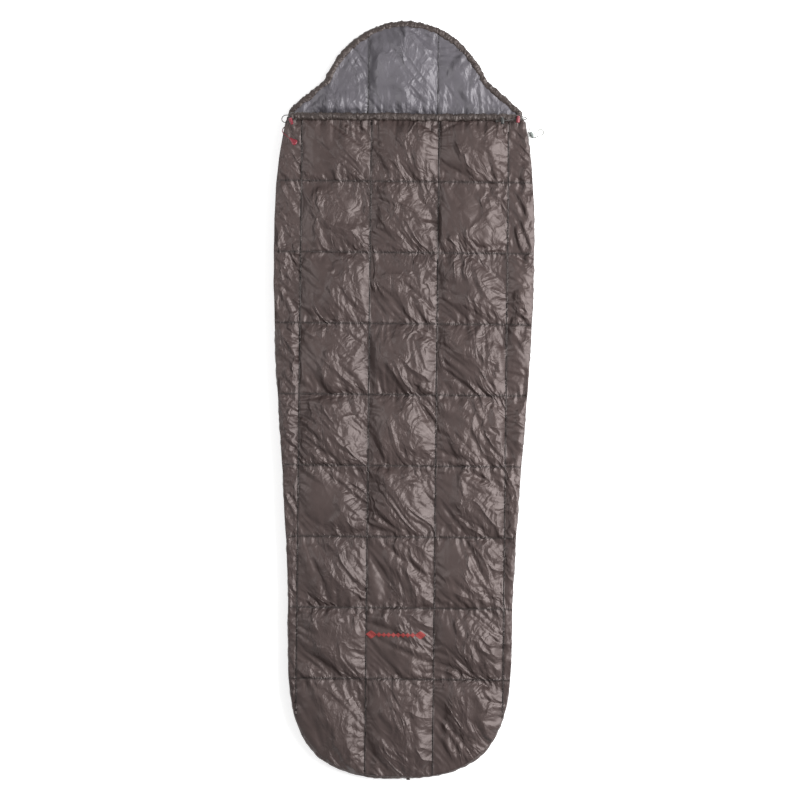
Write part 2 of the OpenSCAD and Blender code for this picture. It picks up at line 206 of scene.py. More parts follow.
def ramp(tree, value, stops):
    node = add(tree, "ValToRGB")
    elements = node.color_ramp.elements
    while len(elements) < len(stops):
        elements.new(0.5)
    for element, (position, colour) in zip(elements, stops):
        element.position = position
        element.color = (*colour, 1)
    tree.links.new(value, node.inputs["Fac"])
    return node.outputs["Color"]


def grey(v):
    return (v, v, v)


def bump(tree, height, strength, distance, below=None):
    node = add(tree, "Bump")
    put(node, {"Strength": strength, "Distance": distance})
    tree.links.new(height, node.inputs["Height"])
    if below is not None:
        tree.links.new(below, node.inputs["Normal"])
    return node.outputs["Normal"]


def strongest_wave(tree, vectors, scale, bands=("X", "X")):
    """The higher of two wave patterns, as threads that cross."""
    waves = []
    for vector, band in zip(vectors, bands):
        wave = add(tree, "TexWave", vector, bands_direction=band)
        put(wave, {"Scale": scale})
        waves.append(wave.outputs["Fac"])
    return maths(tree, "MAXIMUM", *waves)


def woven(name, low, high, roughness, crease=0.5, crease_size=15.0, weave=130.0, tint=(1, 1, 1), uv=True,
          seam_shade_tone=0.33):
    """Downproof nylon: a fine plain weave, slanting creases, a slight change of tone, and painted shade along
    the seams and the border.
    """
    material, tree, shader = new_material(name)
    flat = coordinates(tree, uv)
    slanted = coordinates(tree, uv, (1.0, 0.46, 1.0), math.radians(-29))
    steep = coordinates(tree, uv, (1.0, 0.55, 1.0), math.radians(12))
    upright = coordinates(tree, uv, (1.0, 0.24, 1.0))
    tone = ramp(tree, noise_at(tree, flat, 5.0, 4.0), [(0.3, low), (0.7, high)])
    # painted shade: the base colour is multiplied darker where the stored seam mask is high, along the seams
    # and the border
    seam_shade = add(tree, "Mix", data_type="RGBA", blend_type="MULTIPLY")
    tree.links.new(attribute(tree, "seam"), seam_shade.inputs["Factor"])
    tree.links.new(tone, seam_shade.inputs[6])
    seam_shade.inputs[7].default_value = (seam_shade_tone, seam_shade_tone, seam_shade_tone, 1)
    tree.links.new(seam_shade.outputs[2], shader.inputs["Base Color"])
    rough_stops = [(0.3, grey(roughness - 0.05)), (0.7, grey(roughness + 0.07))]
    rough = ramp(tree, noise_at(tree, flat, 30.0, 4.0), rough_stops)
    tree.links.new(rough, shader.inputs["Roughness"])
    shader.inputs["Specular Tint"].default_value = (*tint, 1)
    threads = strongest_wave(tree, (flat, flat), weave, ("X", "Y"))
    crinkle, gather = attribute(tree, "crinkle"), attribute(tree, "gather")
    ridges = noise_at(tree, slanted, crease_size, 2.0, 0.45, 0.9)
    sharp = ramp(tree, ridges, [(0.30, grey(0)), (0.48, grey(0.85)), (0.52, grey(1)), (0.72, grey(0.1))])
    fine = noise_at(tree, steep, crease_size * 2.4, 2.0, 0.5, 1.2)
    tiny = noise_at(tree, slanted, crease_size * 7.0, 2.0, 0.5, 0.8)
    drawn_in = noise_at(tree, upright, 120.0, 2.0, 0.5, 0.3)
    normal = None
    for height, amount, strength, distance in (
        (sharp, crinkle, crease, 0.0095), (fine, crinkle, crease, 0.0080),
        (tiny, crinkle, crease * 0.6, 0.0024), (drawn_in, gather, 0.9, 0.0070),
    ):
        normal = bump(tree, maths(tree, "MULTIPLY", height, amount), strength, distance, normal)
    normal = bump(tree, threads, 0.12, 0.00012, normal)
    tree.links.new(normal, shader.inputs["Normal"])
    return material


def braid(name, low, high):
    """Round braided cord: two sets of strands that cross."""
    material, tree, shader = new_material(name)
    turned = [coordinates(tree, True, turn=math.radians(a)) for a in (40, -40)]
    strands = strongest_wave(tree, turned, 75.0)
    tree.links.new(ramp(tree, strands, [(0.3, low), (0.8, high)]), shader.inputs["Base Color"])
    put(shader, {"Roughness": 0.62})
    tree.links.new(bump(tree, strands, 0.6, 0.0004), shader.inputs["Normal"])
    return material


def moulded(name, low, high, roughness, metallic=0.0, coat=0.0):
    """Moulded plastic or cast metal: a fine grain and faint rubbed patches."""
    material, tree, shader = new_material(name)
    vector = coordinates(tree, False)
    tone = ramp(tree, noise_at(tree, vector, 160.0, 4.0), [(0.3, low), (0.75, high)])
    tree.links.new(tone, shader.inputs["Base Color"])
    rough_stops = [(0.3, grey(roughness)), (0.8, grey(roughness + 0.16))]
    tree.links.new(ramp(tree, noise_at(tree, vector, 320.0, 5.0), rough_stops), shader.inputs["Roughness"])
    put(shader, {"Metallic": metallic, "Coat Weight": coat})
    tree.links.new(bump(tree, noise_at(tree, vector, 900.0, 2.0), 0.12, 0.0002), shader.inputs["Normal"])
    return material


# Both fabrics get painted shade along their seams and border; on the lining it is fainter.
SHELL = woven("shell_nylon", (0.038, 0.026, 0.0245), (0.052, 0.0365, 0.0340), 0.41, 0.75,
              tint=(1.0, 0.88, 0.86))
LINING = woven("lining_nylon", (0.078, 0.072, 0.082), (0.106, 0.099, 0.112), 0.38, 0.8, 13.0,
               tint=(1.0, 0.97, 1.0), seam_shade_tone=0.58)
TRIM = woven("trim_fabric", (0.028, 0.021, 0.019), (0.042, 0.032, 0.029), 0.46, 0.4, 40.0, 90.0,
             tint=(1.0, 0.90, 0.88))
TAPE = woven("tape_fabric", (0.040, 0.035, 0.033), (0.060, 0.053, 0.050), 0.7, 0.05, 60.0, 60.0, uv=False)
CORD = braid("cord", (0.012, 0.010, 0.010), (0.050, 0.044, 0.042))
GREY_CORD = braid("grey_cord", (0.13, 0.14, 0.13), (0.34, 0.35, 0.33))
RED_CORD = braid("red_cord", (0.070, 0.009, 0.015), (0.17, 0.020, 0.030))
RED_PLASTIC = moulded("red_plastic", (0.15, 0.010, 0.020), (0.21, 0.016, 0.029), 0.34, coat=0.1)
BLACK_PLASTIC = moulded("black_plastic", (0.014, 0.014, 0.014), (0.030, 0.029, 0.028), 0.38)
GREY_PLASTIC = moulded("grey_plastic", (0.13, 0.15, 0.14), (0.20, 0.22, 0.21), 0.4)
METAL = moulded("slider_metal", (0.20, 0.19, 0.18), (0.34, 0.32, 0.30), 0.30, 1.0)
SPRING = moulded("spring_steel", (0.50, 0.50, 0.50), (0.66, 0.66, 0.66), 0.22, 1.0)
COIL = moulded("coil", (0.030, 0.026, 0.024), (0.055, 0.049, 0.046), 0.34)
THREAD = braid("thread", (0.014, 0.011, 0.010), (0.040, 0.033, 0.030))
EMBROIDERY = braid("embroidery", (0.13, 0.012, 0.013), (0.24, 0.026, 0.023))


# ---- mesh helpers
def dress(obj, material, uvs):
    """Smooth shading, flat texture coordinates and the material."""
    mesh = obj.data
    mesh.materials.clear()
    mesh.materials.append(material)
    mesh.polygons.foreach_set("use_smooth", [True] * len(mesh.polygons))
    layer = mesh.uv_layers.new(name="flat")
    corner = np.zeros(len(mesh.loops), np.int32)
    mesh.loops.foreach_get("vertex_index", corner)
    layer.data.foreach_set("uv", np.array(uvs, np.float32)[corner].ravel())


def piece(name, verts, faces, uvs, material, slot):
    mesh = bpy.data.meshes.new(name)
    mesh.from_pydata([tuple(v) for v in verts], [], faces)
    mesh.update()
    obj = link(name, mesh)
    dress(obj, material, uvs)
    return obj


def ring_faces(rings, sides, start=0):
    """Quads between successive rings of vertices."""
    faces = []
    for i in range(rings - 1):
        for k in range(sides):
            a, m = start + i * sides, (k + 1) % sides
            faces.append([a + k, a + m, a + sides + m, a + sides + k])
    return faces


def closed_faces(rings, sides):
    """The same, with both end rings closed."""
    last = (rings - 1) * sides
    return ring_faces(rings, sides) + [list(range(sides))[::-1], [last + k for k in range(sides)]]


def sheet_faces(cols, rows):
    """Quads of a sheet whose vertices run column by column."""
    return [
        [a, a + rows + 1, a + rows + 2, a + 1]
        for i in range(cols) for a in range(i * (rows + 1), i * (rows + 1) + rows)
    ]


def evenly_creased(obj):
    """The same amount of creasing all over a small fabric piece."""
    layer = obj.data.attributes.new("crinkle", "FLOAT", "POINT")
    layer.data.foreach_set("value", [0.8] * len(obj.data.vertices))


def read(mesh):
    co = np.zeros(len(mesh.vertices) * 3, np.float32)
    mesh.vertices.foreach_get("co", co)
    return co.reshape(-1, 3).astype(float)


def write(mesh, co):
    mesh.vertices.foreach_set("co", np.asarray(co, np.float32).ravel())
    mesh.update()


def smooth_route(points, per_span=6):
    """Points on a Catmull-Rom curve through the given ones."""
    p = [Vector(q) for q in points]
    p = [2 * p[0] - p[1]] + p + [2 * p[-1] - p[-2]]
    out = []
    for a, b, c, d in zip(p, p[1:], p[2:], p[3:]):
        for k in range(per_span):
            t = k / per_span
            bend, twist = 2 * a - 5 * b + 4 * c - d, 3 * b - a - 3 * c + d
            out.append(0.5 * (2 * b + (c - a) * t + bend * t * t + twist * t ** 3))
    return out + [p[-2]]


def route_length(points):
    return sum((b - a).length for a, b in zip(points, points[1:]))


def tube(path, radius_at, sides):
    """A tube round a path. radius_at(i, angle, length so far) gives its half width and half height there."""
    verts, uvs = [], []
    run = 0.0
    side_dir = None
    for i, centre in enumerate(path):
        way = (path[min(i + 1, len(path) - 1)] - path[max(i - 1, 0)]).normalized()
        if i:
            run += (path[i] - path[i - 1]).length
        if side_dir is None:
            side_dir = way.cross(Vector((0, 0, 1)))
            side_dir = side_dir.normalized() if side_dir.length > 1e-4 else Vector((1, 0, 0))
        else:
            side_dir = (side_dir - way * side_dir.dot(way)).normalized()
        up = side_dir.cross(way).normalized()
        for k in range(sides):
            a = 2 * math.pi * k / sides
            wide, tall = radius_at(i, a, run)
            verts.append(centre + side_dir * math.cos(a) * wide + up * math.sin(a) * tall)
            uvs.append((run, 0.008 * k / sides))
    return verts, closed_faces(len(path), sides), uvs


def round_tube(path, r, sides):
    return tube(path, lambda i, a, run: (r, r), sides)


def search_tree(points):
    """Finds the nearest of some (x, y) points."""
    tree = kdtree.KDTree(len(points))
    for i, (x, y) in enumerate(points):
        tree.insert((x, y, 0), i)
    tree.balance()
    return tree


# ---- cords, with their routes in millimetres
CORD_R = 0.0012
CORD_ROUTES = {
    "PullCord": [
        (-332, 769, 33), (-338, 765, 33), (-343, 760, 36), (-345, 753, 42), (-343, 746, 50),
        (-337, 740, 56), (-330, 734, 61), (-323, 729, 65),
    ],
    "LeftCord": [
        (-322, 793, 54), (-331, 795, 53), (-339, 794, 52), (-345, 789, 53), (-346, 781, 56), (-342, 775, 61),
        (-335, 773, 65), (-325.6, 775, 66.4), (-314.4, 779, 66.4), (-309, 781, 66.4),
    ],
    "HoodCord": [
        (324, 804, 20), (332, 800, 25), (338, 797, 36), (340, 793, 50), (336, 788, 60),
        (330, 786.5, 66), (324, 787.2, 67), (306, 788.8, 67), (299, 788, 68), (290, 785.5, 70.5),
        (281, 783.9, 71.6), (263, 782.3, 71.6), (257, 781.8, 71.4),
    ],
    "TailCord": [
        (322, 793, 54), (331, 792, 54), (338, 787, 52), (344, 779, 46), (348, 771, 37), (349, 763, 26),
        (347, 755, 15), (346, 749, 8), (349.8, 748.5, 6.4), (364.2, 755.5, 6.4), (371, 760, 5),
        (377, 766, 3), (384, 769, 1.8), (390, 765, 1.8), (391, 757, 1.8), (385, 752, 1.8),
        (377, 750, 1.8), (370, 746, 1.8),
    ],
}


def make_cord(name, material, slot, body, node):
    path = smooth_route([Vector(p) / 1000 for p in CORD_ROUTES[name]])
    obj = piece(name, *round_tube(path, CORD_R, 10), material, slot)
    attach(obj, body)
    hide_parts(node)
    return obj, path


def knot(name, centre, size, material, slot, body, node):
    """A small overhand knot, drawn as a tight trefoil of cord."""
    path = []
    for i in range(49):
        t = 2 * math.pi * i / 48
        path.append(Vector(centre) + size / 3.4 * Vector((
            math.sin(t) + 2 * math.sin(2 * t), math.cos(t) - 2 * math.cos(2 * t), -math.sin(3 * t))) * 0.70)
    obj = piece(name, *round_tube(path, size * 0.48, 10), material, slot)
    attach(obj, body)
    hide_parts(node)
    return obj


pull_cord, pull_path = make_cord("PullCord", RED_CORD, "red_cord", "pull", "pull_cord")
left_cord, left_path = make_cord("LeftCord", CORD, "cord", "flap", "left_cord")
hood_cord, hood_path = make_cord("HoodCord", CORD, "cord", "bag", "hood_cord")
tail_cord, tail_path = make_cord("TailCord", GREY_CORD, "grey_cord", "bag", "tail_cord")
left_knot = knot("LeftKnot", (-0.3066, 0.7819, 0.0664), 0.0026, CORD, "cord", "flap", "left_knot")
hood_knot = knot("HoodKnot", (0.2544, 0.7816, 0.0712), 0.0028, CORD, "cord", "bag", "hood_cord_knot")
tail_knot = knot("TailKnot", (0.3681, 0.7450, 0.0030), 0.0027, GREY_CORD, "grey_cord", "bag", "tail_knot")


def pull_tab():
    """Teardrop tab with a moulded rim, round the three spheres of the CAD tab."""
    root, tip = Vector((-0.3226, 0.7284, 0.0658)), Vector((-0.307, 0.715, 0.071))
    way = (tip - root).normalized()
    across = Vector((0.005, 0.003, 0)).normalized()
    across = (across - way * across.dot(way)).normalized()
    up = way.cross(across).normalized()
    up = up if up.z > 0 else -up
    length = (tip - root).length + 0.0062
    rows, around = 26, 28
    verts, uvs = [], []
    for i in range(rows + 1):
        t = i / rows
        cap = math.sqrt(max(0.0, 1 - max(0.0, (t - 0.72) / 0.28) ** 2)) * math.sqrt(min(1.0, t / 0.06 + 0.02))
        wide = (0.0024 + 0.0066 * min(1, t / 0.72) ** 1.4) * cap
        tall = (0.0022 + 0.0018 * min(1, t / 0.7)) * cap
        centre = root - way * 0.0022 + way * length * t
        for k in range(around):
            a = 2 * math.pi * k / around
            c, s = math.cos(a), math.sin(a)
            dished = max(0, min(1, (t - 0.3) * 4)) * max(0, min(1, (0.97 - t) * 9))
            dish = 1 - 0.32 * math.exp(-(c / 0.55) ** 2) * dished
            verts.append(centre + across * wide * c + up * tall * s * dish)
            uvs.append((length * t, 0.02 * k / around))
    obj = piece("PullTab", verts, closed_faces(rows + 1, around), uvs, RED_PLASTIC, "red_plastic")
    bm = bmesh.new()
    bm.from_mesh(obj.data)
    bmesh.ops.recalc_face_normals(bm, faces=bm.faces)
    bm.to_mesh(obj.data)
    bm.free()
    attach(obj, "pull")
    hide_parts("pull_tab")
    return obj


tab = pull_tab()


# ---- grids for the panels
def stations(marks, low, high, step):
    out = []
    knots = [low] + [m for m in sorted(marks) if low + 1e-6 < m < high - 1e-6] + [high]
    for a, b in zip(knots, knots[1:]):
        n = max(1, round((b - a) / step))
        out += [a + (b - a) * i / n for i in range(n)]
    return out + [high]


def grid_mesh(name, step, y_low, y_high, width_at, outline, cols, rows, snap_from=-9.0, snap_to=9.0):
    """A flat panel whose rows and columns of vertices run along the seams, with its border on the outline."""
    widest = max(abs(x) for x, _ in outline)
    xs = stations(cols, -widest - step, widest + step, step)
    ys = stations(rows, y_low, y_high, step)
    margin = 0.45 * step
    index, verts = {}, []
    for j, y in enumerate(ys):
        reach = min(width_at(y), width_at(max(y - margin, y_low)), width_at(min(y + margin, y_high))) - margin
        for i, x in enumerate(xs):
            if abs(x) < reach:
                index[i, j] = len(verts)
                verts.append((x, y, 0.0))
    faces = []
    for i, j in index:
        quad = [(i, j), (i + 1, j), (i + 1, j + 1), (i, j + 1)]
        if all(k in index for k in quad):
            faces.append([index[k] for k in quad])
    bm = bmesh.new()
    made = [bm.verts.new(v) for v in verts]
    for f in faces:
        bm.faces.new([made[k] for k in f])
    bmesh.ops.delete(bm, geom=[v for v in bm.verts if not v.link_faces], context="VERTS")
    tree = search_tree(outline)
    for v in bm.verts:
        if v.is_boundary and snap_from < v.co.y < snap_to:
            co, _, _ = tree.find((v.co.x, v.co.y, 0))
            v.co.x, v.co.y = co.x, co.y
        elif v.is_boundary:
            side = 1 if v.co.x > 0 else -1
            if abs(v.co.x) > width_at(v.co.y) - 1.6 * step and sum(e.is_boundary for e in v.link_edges) == 2:
                if len(v.link_faces) == 1:
                    v.co.x = side * width_at(v.co.y)
    bmesh.ops.remove_doubles(bm, verts=bm.verts, dist=step * 0.25)
    bmesh.ops.delete(bm, geom=[v for v in bm.verts if not v.link_faces], context="VERTS")
    mesh = bpy.data.meshes.new(name)
    bm.to_mesh(mesh)
    bm.free()
    return mesh


def seam_distance(co, cols, rows, border):
    """Distance of each point to the nearest seam, and to the border."""
    d = np.full(len(co), 9.0)
    for c in cols:
        d = np.minimum(d, np.abs(co[:, 0] - c))
    for r in rows:
        d = np.minimum(d, np.abs(co[:, 1] - r))
    tree = search_tree(border)
    edge = np.array([tree.find((x, y, 0))[2] for x, y in co[:, :2]])
    return d, edge


def noise_field(co, scale, seed, stretch=(1.0, 1.0), turn=0.0):
    c, s = math.cos(turn), math.sin(turn)
    u = (co[:, 0] * c + co[:, 1] * s) * scale * stretch[0]
    v = (-co[:, 0] * s + co[:, 1] * c) * scale * stretch[1]
    return np.array([noise.noise(Vector((a, b, seed))) for a, b in zip(u, v)])


# ---- cloth that is blown up between its seams
def cloth(mesh, name, cols, rows, grow, shear, pressure, gather):
    """Gives the panel more cloth than its place, pins its seams and border, and sets up its simulation."""
    obj = link(name, mesh)
    flat = read(mesh)
    bm = bmesh.new()
    bm.from_mesh(mesh)
    border = {v.index for v in bm.verts if v.is_boundary}
    bm.free()
    on = lambda values, marks: np.min(np.abs(values[:, None] - np.array(marks)[None, :]), axis=1) < 1e-5
    seam = on(flat[:, 0], cols)
    if rows:
        seam |= on(flat[:, 1], rows)
    pins = sorted(border | set(np.nonzero(seam)[0].tolist()))
    obj.vertex_groups.new(name="pin").add(pins, 1.0, "REPLACE")
    rest = flat.copy()
    rest[:, 0] = flat[:, 0] * grow + 0.006 * noise_field(flat, 7, 3.1)
    rest[:, 1] = flat[:, 1] * grow + shear * flat[:, 0] + 0.008 * noise_field(flat, 7, 9.7)
    if rows:
        near = np.min(np.abs(flat[:, 1][:, None] - np.array(rows)[None, :]), axis=1)
        rest[:, 0] += gather * np.exp(-near / 0.02) * noise_field(flat, 55, 5.3, (1.0, 0.15))
    rest[:, 2] = 0
    write(mesh, rest)
    obj.shape_key_add(name="Basis")
    place = obj.shape_key_add(name="place")
    place.data.foreach_set("co", flat.astype(np.float32).ravel())
    place.value = 0
    place.keyframe_insert("value", frame=1)
    place.value = 1
    place.keyframe_insert("value", frame=8)
    modifier = obj.modifiers.new("cloth", "CLOTH")
    c = modifier.settings
    c.vertex_group_mass = "pin"
    c.quality = 4
    c.mass = 0.02
    c.tension_stiffness = c.compression_stiffness = 20
    c.shear_stiffness = 8
    c.bending_stiffness = 0.02
    c.tension_damping = c.compression_damping = c.shear_damping = 2
    c.bending_damping = 0.5
    c.air_damping = 2
    c.use_pressure = True
    c.uniform_pressure_force = pressure
    c.effector_weights.gravity = 0
    modifier.collision_settings.use_collision = False
    modifier.collision_settings.use_self_collision = False
    modifier.point_cache.frame_start = 1
    modifier.point_cache.frame_end = SIM_FRAMES
    return obj


def settled(obj, name):
    """The simulated shape as a plain mesh, subdivided once."""
    graph = bpy.context.evaluated_depsgraph_get()
    mesh = bpy.data.meshes.new_from_object(obj.evaluated_get(graph))
    bpy.data.objects.remove(obj)
    made = link(name, mesh)
    divide = made.modifiers.new("subdivide", "SUBSURF")
    divide.levels = divide.render_levels = 1
    graph = bpy.context.evaluated_depsgraph_get()
    fine = bpy.data.meshes.new_from_object(made.evaluated_get(graph))
    made.modifiers.clear()
    made.data = fine
    bpy.data.meshes.remove(mesh)
    fine.name = name
    return made


SIM_FRAMES = 13
STEP = 0.0054
BAG_BORDER = both_sides(bag_outline(QUILT_END))
top_flat = grid_mesh("UpperShell", STEP, Y_END, QUILT_END, half_width, BAG_BORDER, COLS, ROWS,
                     snap_to=QUILT_END - 1e-5)
HOOD_COLS = [-0.105, 0.091]
HOOD_INSET = 0.012
hood_edge = hood_outline(HOOD_INSET)
hood_flat = grid_mesh("HoodLining", STEP, Y_NECK, Y_TOP - HOOD_INSET, lambda y: hood_half(y, HOOD_INSET),
                      both_sides(hood_edge), HOOD_COLS, [], snap_from=Y_NECK + 1e-5)
top_cloth = cloth(top_flat, "top_cloth", COLS, ROWS, 1.05, 0.05, 20.0, 0.004)
hood_cloth = cloth(hood_flat, "hood_cloth", HOOD_COLS, [], 1.055, 0.04, 14.0, 0.0)
for frame_number in range(1, SIM_FRAMES + 1):
    scene.frame_set(frame_number)
top = settled(top_cloth, "UpperShell")
hood_top = settled(hood_cloth, "HoodLining")
scene.frame_set(1)


def store(mesh, name, values):
    mesh.attributes.new(name, "FLOAT", "POINT").data.foreach_set("value", values.astype(np.float32))


def mark_fabric(mesh, co, seam, edge, cols, rows):
    """Stores what the fabric's material reads: how close a point is to a seam or the border, where the
    material paints shade, how creased the cloth is there, and how much a cross seam draws it in. Each box is
    smoothest on its left, where down fills it."""
    # painted shade mask: 1 on the seams, fading over a few millimetres, and up to 0.3 along the border
    store(mesh, "seam", np.maximum(np.exp(-(seam / 0.0034) ** 1.4), 0.30 * np.exp(-edge / 0.002)))
    marks = [-0.40] + list(cols) + [0.40]
    across = np.zeros(len(co))
    for a, b in zip(marks, marks[1:]):
        inside = (co[:, 0] >= a) & (co[:, 0] < b)
        across[inside] = (co[inside, 0] - a) / (b - a)
    drift = 0.60 * noise_field(co, 6.0, 17.0) + 0.40 * noise_field(co, 17.0, 19.0)
    t = np.clip((across + drift - 0.10) / 0.40, 0, 1)
    store(mesh, "crinkle", 0.20 + 0.80 * t * t * (3 - 2 * t))
    drawn = np.exp(-np.abs(co[:, 1] - Y_NECK) / 0.026)
    for row in rows:
        drawn = np.maximum(drawn, np.exp(-np.abs(co[:, 1] - row) / 0.011))
    store(mesh, "gather", drawn * (0.7 + 0.6 * noise_field(co, 13.0, 23.0)))


def finish_panel(obj, z_pin, cols, rows, border, pucker, ceiling, material, neck_y, neck_reach):
    """Lifts the settled cloth to its height and adds the small puckers on both sides of each seam."""
    mesh = obj.data
    co = read(mesh)
    seam, edge = seam_distance(co, cols, rows, border)
    z = 1.15 * np.maximum(co[:, 2], 0) * np.minimum(1, edge / 0.004 + 0.35)
    z *= 1 + 0.35 * noise_field(co, 4.1, 12.5)
    z = np.where(z > ceiling * 0.7, ceiling * 0.7 + (z - ceiling * 0.7) * 0.5, z)
    near = np.clip(seam / 0.006, 0, 1)
    if rows:
        row = np.min(np.abs(co[:, 1][:, None] - np.array(rows)[None, :]), axis=1)
        ripple = noise_field(co, 58, 1.7, (1.0, 0.30)) + 0.5 * noise_field(co, 110, 2.9, (1.0, 0.4))
        z += pucker * ripple * np.exp(-row / 0.017) * near
    column = np.min(np.abs(co[:, 0][:, None] - np.array(cols)[None, :]), axis=1)
    z += 0.5 * pucker * noise_field(co, 52, 4.4, (0.4, 1.0), 0.35) * np.exp(-column / 0.020) * near
    from_neck = np.abs(neck_y - co[:, 1])
    gather = np.exp(-from_neck / neck_reach) * np.clip(0.35 + from_neck / 0.018, 0, 1)
    folds = noise_field(co, 62, 6.1, (1.0, 0.10)) + 0.5 * noise_field(co, 125, 7.3, (1.0, 0.16))
    z += 1.5 * pucker * folds * gather * np.clip(edge / 0.006, 0, 1)
    z = np.minimum(z, 0.0005 + 1.5 * np.maximum(seam - 0.0006, 0))
    co[:, 2] = z_pin + np.maximum(z, -0.0015)
    tuck = np.where(from_neck < 0.012, 0.5 * (0.012 - from_neck), 0)
    co[:, 1] += tuck if neck_y < Y_NECK else -tuck
    write(mesh, co)
    dress(obj, material, co[:, :2])
    mark_fabric(mesh, co, seam, edge, cols, rows)


finish_panel(top, PIN_Z, COLS, ROWS, BAG_BORDER, 0.0078, 0.032, SHELL, QUILT_END, 0.034)
hood_border = both_sides(hood_edge)
finish_panel(hood_top, Z_LOW + 0.0005, HOOD_COLS, [], hood_border, 0.0060, 0.024, LINING,
             Y_NECK, 0.045)


def tape_x(y):
    return ZIP_TOP.x + (y - ZIP_TOP.y) * math.tan(ZIP_LEAN) - 0.0003


def zipper_lip(bm, edges, swell, steps=5):
    """Carries the border inward to the zipper's tape, as a rounded strip of shell."""
    edges = [
        e for e in edges
        if all(v.co.x < -0.30 and ZIP_LOW_Y < v.co.y < QUILT_END - 0.004 for v in e.verts)
    ]
    for i in range(1, steps + 1):
        made = bmesh.ops.extrude_edge_only(bm, edges=edges)["geom"]
        new = {g for g in made if isinstance(g, bmesh.types.BMVert)}
        edges = [g for g in made if isinstance(g, bmesh.types.BMEdge) and all(v in new for v in g.verts)]
        rise = math.sin(math.pi * i / steps) - math.sin(math.pi * (i - 1) / steps)
        for v in new:
            v.co.x += (tape_x(v.co.y) - v.co.x) / (steps - i + 1)
            clear_of_slider = min(1, max(0.1, min((v.co.y - 0.27) / 0.10, (0.735 - v.co.y) / 0.06)))
            wave = 0.8 + 0.5 * noise.noise(Vector((v.co.y * 22, swell * 900, 0)))
            v.co.z += rise * swell * clear_of_slider * wave


def roll_border(obj, z_to, bulge, lip, steps=6):
    """Turns the panel's border down in a soft curve, as the down-filled edge between its two fabrics."""
    line = [Vector((x, y, 0)) for x, y in BAG_BORDER]
    tree = search_tree(BAG_BORDER)
    bm = bmesh.new()
    bm.from_mesh(obj.data)
    uv = bm.loops.layers.uv.verify()
    edges = [e for e in bm.edges if e.is_boundary]
    heights = [v.co.z for e in edges for v in e.verts]
    z_start = sum(heights) / len(heights)
    last = 0.0
    for i in range(1, steps + 1):
        made = bmesh.ops.extrude_edge_only(bm, edges=edges)["geom"]
        edges = [g for g in made if isinstance(g, bmesh.types.BMEdge) and g.is_boundary]
        t = i / steps
        reach = math.sin(math.pi * t)
        for v in {v for e in edges for v in e.verts}:
            near, k, _ = tree.find((v.co.x, v.co.y, 0))
            way = line[min(k + 1, len(line) - 1)] - line[max(k - 1, 0)]
            out = Vector((way.y, -way.x, 0)).normalized()
            out = out if out.dot(Vector((near.x, near.y + 0.3, 0))) > 0 else -out
            if v.co.y < QUILT_END - 0.004:
                wave = 0.8 + 0.5 * noise.noise(Vector((v.co.x * 14, v.co.y * 14, 0)))
                v.co += out * (reach - last) * bulge * wave
            v.co.z += (z_to - z_start) / steps
        last = reach
    zipper_lip(bm, edges, lip)
    for f in bm.faces:
        f.smooth = True
        for loop in f.loops:
            loop[uv].uv = (loop.vert.co.x + loop.vert.co.z, loop.vert.co.y)
    bm.to_mesh(obj.data)
    bm.free()


roll_border(top, Z_UP + 0.0005, 0.0030, -0.0036)
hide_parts("upper_shell", "upper_fill", "flap_shell", "flap_fill")


def surface(obj):
    points = [v.co.copy() for v in obj.data.vertices]
    return BVHTree.FromPolygons(points, [list(p.vertices) for p in obj.data.polygons])


def height_on(tree, x, y, missing):
    hit = tree.ray_cast(Vector((x, y, 0.2)), Vector((0, 0, -1)))[0]
    return hit.z if hit else missing


top_tree = surface(top)
hood_tree = surface(hood_top)


# ---- flatter panels: linings and undersides
PANEL_STEP = 0.0075


def panel(name, y_high, z_at, border_inset, material):
    """A panel shaped by z_at(points, seam distance, edge distance)."""
    outline = both_sides(bag_outline(y_high))
    mesh = grid_mesh(name, PANEL_STEP, Y_END, y_high, half_width, outline, COLS, ROWS, snap_to=y_high - 1e-5)
    obj = link(name, mesh)
    co = read(mesh)
    seam, edge = seam_distance(co, COLS, ROWS, outline)
    flat = co[:, :2].copy()
    co[:, 2] = z_at(co, seam, edge)
    shrink = 1 - border_inset / np.maximum(np.abs(co[:, 0]), 0.05) * (edge < 0.02)
    co[:, 0] *= shrink
    write(mesh, co)
    dress(obj, material, flat)
    mark_fabric(mesh, co, seam, edge, COLS, ROWS)
    return obj


def puff(seam, edge):
    return np.clip(np.minimum(seam, edge) / 0.045, 0, 1) ** 0.55


def creases(co, seed):
    sharp = lambda n: (1 - np.abs(n) * 2.2).clip(0, 1) ** 2
    large = noise_field(co, 11, seed, (1.0, 0.5), -0.7)
    small = noise_field(co, 24, seed + 4, (1.0, 0.5), -0.6)
    return 0.6 * sharp(large) + 0.4 * sharp(small)


def upper_lining_z(co, seam, edge):
    folds = creases(co, 21.0) * np.clip(seam / 0.01, 0, 1)
    return Z_UP + 0.0010 - 0.0045 * puff(seam, edge) - 0.0022 * folds


def lower_lining_z(co, seam, edge):
    folds = creases(co, 31.0) * np.clip(seam / 0.01, 0, 1)
    return Z_LOW - 0.0010 + 0.0055 * puff(seam, edge) + 0.0026 * folds


def lower_shell_z(co, seam, edge):
    side = 0.0140 * np.clip(1 - edge / 0.026, 0, 1) ** 1.7
    return 0.0006 + side + 0.0035 * np.exp(-seam / 0.012) + 0.0006 * creases(co, 41.0)


def tucked_in(obj):
    """Runs the panel's neck edge on into the neck tunnel."""
    co = read(obj.data)
    co[:, 1] += np.where(co[:, 1] > QUILT_END - 0.012, 0.5 * (co[:, 1] - QUILT_END + 0.012), 0)
    co[:, 2] += np.clip((co[:, 1] - QUILT_END + 0.004) / 0.009, 0, 1) * 0.005
    write(obj.data, co)


